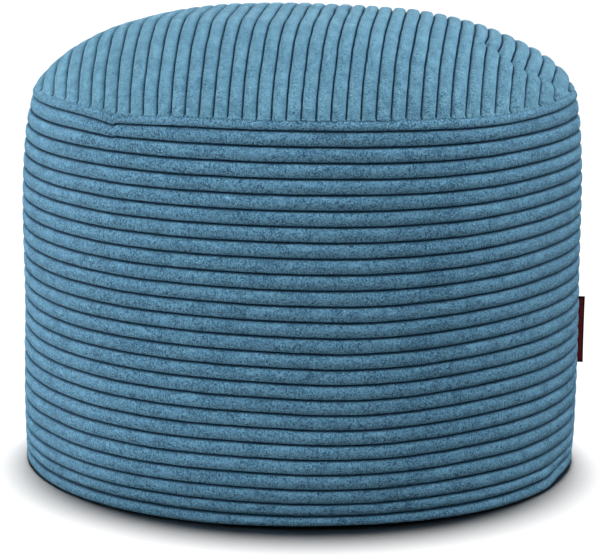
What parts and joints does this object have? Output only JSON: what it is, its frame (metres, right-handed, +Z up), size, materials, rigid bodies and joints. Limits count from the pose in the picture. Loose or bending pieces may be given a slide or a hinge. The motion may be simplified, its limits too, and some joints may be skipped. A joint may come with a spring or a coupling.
{
  "type": "bean bag footstool",
  "caption": "Round filled pouf in ribbed corduroy: straight side band, crowned top panel, flat base and a small folded side tab.",
  "frame": {"origin": "centre of the base on the floor", "axes": "+Z up, front towards -Y, the side tab just behind +X, the top's wales running close to Y"},
  "size_m": [0.5147, 0.5, 0.405],
  "materials": {
    "side_corduroy": "wide-wale corduroy, matt velvet pile",
    "top_corduroy": "wide-wale corduroy, matt velvet pile",
    "base_corduroy": "wide-wale corduroy, pile pressed flat",
    "label_ribbon": "woven satin ribbon"
  },
  "bodies": {
    "root": {"side_body": "side_corduroy", "top_panel": "top_corduroy", "base_panel": "base_corduroy", "side_label": "label_ribbon"}
  },
  "joints": []
}
